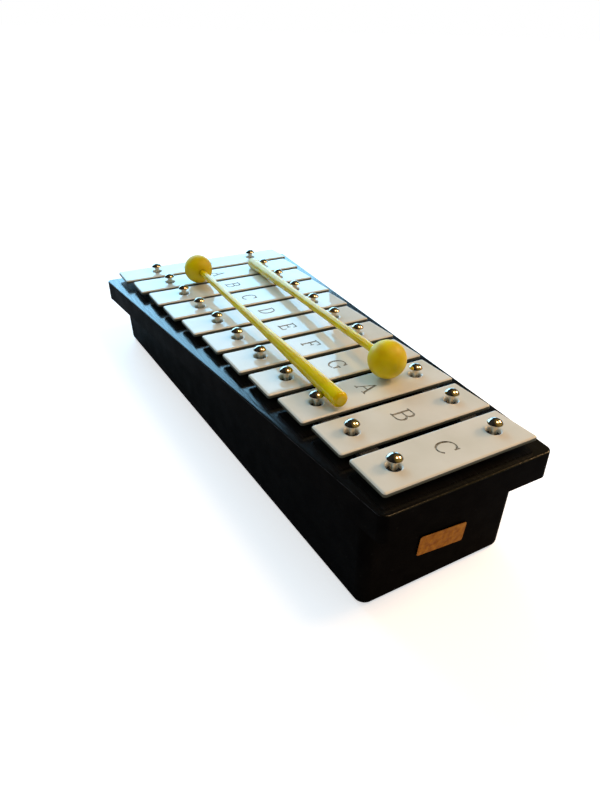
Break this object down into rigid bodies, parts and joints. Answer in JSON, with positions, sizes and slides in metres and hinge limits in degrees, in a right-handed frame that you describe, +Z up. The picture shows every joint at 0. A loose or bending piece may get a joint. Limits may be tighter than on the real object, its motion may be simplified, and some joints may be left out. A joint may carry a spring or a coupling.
{
  "type": "metallophone",
  "caption": "Small diatonic metallophone: plated bars on felt over a wedge-shaped trapezoid resonator box, held by domed pins, with two translucent mallets lying across the bars.",
  "frame": {"origin": "centre of the bounding box in plan, on the level underside of the resonator box", "axes": "+X along the row to the treble end (short bars), +Y across the bars away from the player, +Z up; the deck with the bars leans 3.6 degrees down towards the bass end"},
  "size_m": [0.2776, 0.1306, 0.0751],
  "materials": {
    "nickel_plate": "polished nickel plate on steel, with stamped note letters",
    "chrome": "bright chrome",
    "black_plastic": "glossy black moulded plastic",
    "green_felt": "pressed felt",
    "gold_foil": "bare gold foil",
    "yellow_plastic": "translucent yellow plastic"
  },
  "bodies": {
    "case": {"resonator_box": "black_plastic", "top_frame": "black_plastic", "felt_strip_left": "green_felt", "felt_strip_right": "green_felt", "label_plate": "gold_foil", "pin_c_high_left": "chrome", "pin_c_high_right": "chrome", "pin_b_high_left": "chrome", "pin_b_high_right": "chrome", "pin_a_high_left": "chrome", "pin_a_high_right": "chrome", "pin_g_high_left": "chrome", "pin_g_high_right": "chrome", "pin_f_left": "chrome", "pin_f_right": "chrome", "pin_e_left": "chrome", "pin_e_right": "chrome", "pin_d_left": "chrome", "pin_d_right": "chrome", "pin_c_left": "chrome", "pin_c_right": "chrome", "pin_b_low_left": "chrome", "pin_b_low_right": "chrome", "pin_a_low_left": "chrome", "pin_a_low_right": "chrome", "pin_g_low_left": "chrome", "pin_g_low_right": "chrome"},
    "bar_c_high": {"bar_c_high": "nickel_plate"},
    "bar_b_high": {"bar_b_high": "nickel_plate"},
    "bar_a_high": {"bar_a_high": "nickel_plate"},
    "bar_g_high": {"bar_g_high": "nickel_plate"},
    "bar_f": {"bar_f": "nickel_plate"},
    "bar_e": {"bar_e": "nickel_plate"},
    "bar_d": {"bar_d": "nickel_plate"},
    "bar_c": {"bar_c": "nickel_plate"},
    "bar_b_low": {"bar_b_low": "nickel_plate"},
    "bar_a_low": {"bar_a_low": "nickel_plate"},
    "bar_g_low": {"bar_g_low": "nickel_plate"},
    "mallet_left": {"mallet_stick_left": "yellow_plastic", "mallet_ball_left": "yellow_plastic"},
    "mallet_right": {"mallet_stick_right": "yellow_plastic", "mallet_ball_right": "yellow_plastic"}
  },
  "joints": [
    {"name": "c_high_bounce", "type": "slide", "parent": "case", "child": "bar_c_high", "axis": [-0.0627, 0, 0.998], "range_m": [-0.00025, 0.0027], "stiffness_N_per_m": 2000, "springref_m": 0.00012},
    {"name": "b_high_bounce", "type": "slide", "parent": "case", "child": "bar_b_high", "axis": [-0.0627, 0, 0.998], "range_m": [-0.00025, 0.0027], "stiffness_N_per_m": 2000, "springref_m": 0.00012},
    {"name": "a_high_bounce", "type": "slide", "parent": "case", "child": "bar_a_high", "axis": [-0.0627, 0, 0.998], "range_m": [-0.00025, 0], "stiffness_N_per_m": 2000, "springref_m": 0.00013},
    {"name": "g_high_bounce", "type": "slide", "parent": "case", "child": "bar_g_high", "axis": [-0.0627, 0, 0.998], "range_m": [-0.00025, 0.0012], "stiffness_N_per_m": 2000, "springref_m": 0.00013},
    {"name": "f_bounce", "type": "slide", "parent": "case", "child": "bar_f", "axis": [-0.0627, 0, 0.998], "range_m": [-0.00025, 0.0024], "stiffness_N_per_m": 2000, "springref_m": 0.00014},
    {"name": "e_bounce", "type": "slide", "parent": "case", "child": "bar_e", "axis": [-0.0627, 0, 0.998], "range_m": [-0.00025, 0.0027], "stiffness_N_per_m": 2000, "springref_m": 0.00015},
    {"name": "d_bounce", "type": "slide", "parent": "case", "child": "bar_d", "axis": [-0.0627, 0, 0.998], "range_m": [-0.00025, 0.0027], "stiffness_N_per_m": 2000, "springref_m": 0.00015},
    {"name": "c_bounce", "type": "slide", "parent": "case", "child": "bar_c", "axis": [-0.0627, 0, 0.998], "range_m": [-0.00025, 0.002], "stiffness_N_per_m": 2000, "springref_m": 0.00016},
    {"name": "b_low_bounce", "type": "slide", "parent": "case", "child": "bar_b_low", "axis": [-0.0627, 0, 0.998], "range_m": [-0.00025, 0.0005], "stiffness_N_per_m": 2000, "springref_m": 0.00017},
    {"name": "a_low_bounce", "type": "slide", "parent": "case", "child": "bar_a_low", "axis": [-0.0627, 0, 0.998], "range_m": [-0.00025, 0], "stiffness_N_per_m": 2000, "springref_m": 0.00018},
    {"name": "g_low_bounce", "type": "slide", "parent": "case", "child": "bar_g_low", "axis": [-0.0627, 0, 0.998], "range_m": [-0.00025, 0.0027], "stiffness_N_per_m": 2000, "springref_m": 0.00019},
    {"name": "mallet_left_lift", "type": "slide", "parent": "case", "child": "mallet_left", "axis": [0, 0, 1], "range_m": [0, 0.08]},
    {"name": "mallet_right_lift", "type": "slide", "parent": "case", "child": "mallet_right", "axis": [0, 0, 1], "range_m": [0, 0.08]}
  ]
}
